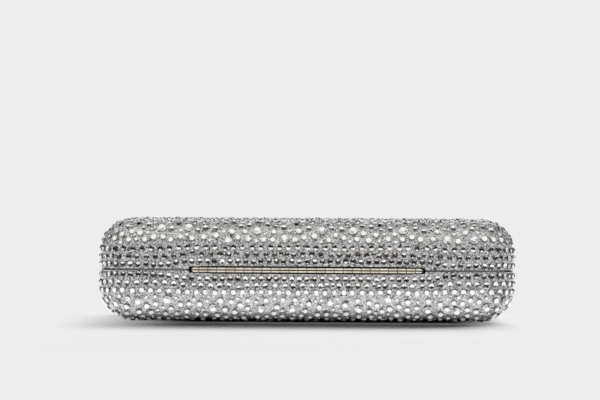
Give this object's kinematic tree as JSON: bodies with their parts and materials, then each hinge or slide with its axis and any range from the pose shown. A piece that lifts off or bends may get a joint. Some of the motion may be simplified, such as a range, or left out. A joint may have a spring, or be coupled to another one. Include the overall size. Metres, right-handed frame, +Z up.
{
  "type": "minaudiere",
  "caption": "Hard rounded-box evening clutch covered in clear crystals, with a piano-hinged lid and a push-button catch in the rim.",
  "frame": {"origin": "middle of the face that the underside crystals rest on, under the centre of the closed case", "axes": "+X along the length, +Y from the hinge to the clasp, +Z up through the lid"},
  "size_m": [0.1792, 0.0952, 0.045],
  "materials": {
    "crystal_ground": "fine silver glitter bonded to a thin fabric",
    "crystal": "faceted clear crystal with a foil back",
    "shell": "moulded",
    "lining": "short-napped suede cloth",
    "pale_gold": "polished pale gold plate",
    "spring_steel": "brushed"
  },
  "bodies": {
    "base": {"base_shell": "shell", "base_cover": "crystal_ground", "base_rim": "pale_gold", "base_lining": "lining", "base_hinge_leaf": "pale_gold", "base_hinge_rivets": "pale_gold", "hinge_pin": "pale_gold", "clasp_housing": "pale_gold", "clasp_housing_rivets": "pale_gold", "clasp_bezel": "pale_gold", "clasp_leaf_spring": "spring_steel", "base_side_stones": "crystal", "base_underside_stones": "crystal", "base_row_stones": "crystal"},
    "lid": {"lid_shell": "shell", "lid_cover": "crystal_ground", "lid_rim": "pale_gold", "lid_lining": "lining", "lid_hinge_leaf": "pale_gold", "lid_hinge_rivets": "pale_gold", "strike_hook": "pale_gold", "strike_rivets": "pale_gold", "lid_side_stones": "crystal", "lid_top_stones": "crystal", "lid_row_stones": "crystal"},
    "clasp": {"clasp_button": "pale_gold", "clasp_slide": "spring_steel"}
  },
  "joints": [
    {"name": "lid_hinge", "type": "hinge", "parent": "base", "child": "lid", "pos_m": [0, -0.0465, 0.0225], "axis": [1, 0, 0], "range_deg": [0, 95]},
    {"name": "button_press", "type": "slide", "parent": "base", "child": "clasp", "axis": [0, -1, 0], "range_m": [0, 0.0012], "stiffness_N_per_m": 1200, "springref_m": -0.001, "deforming": ["clasp_leaf_spring"]}
  ]
}
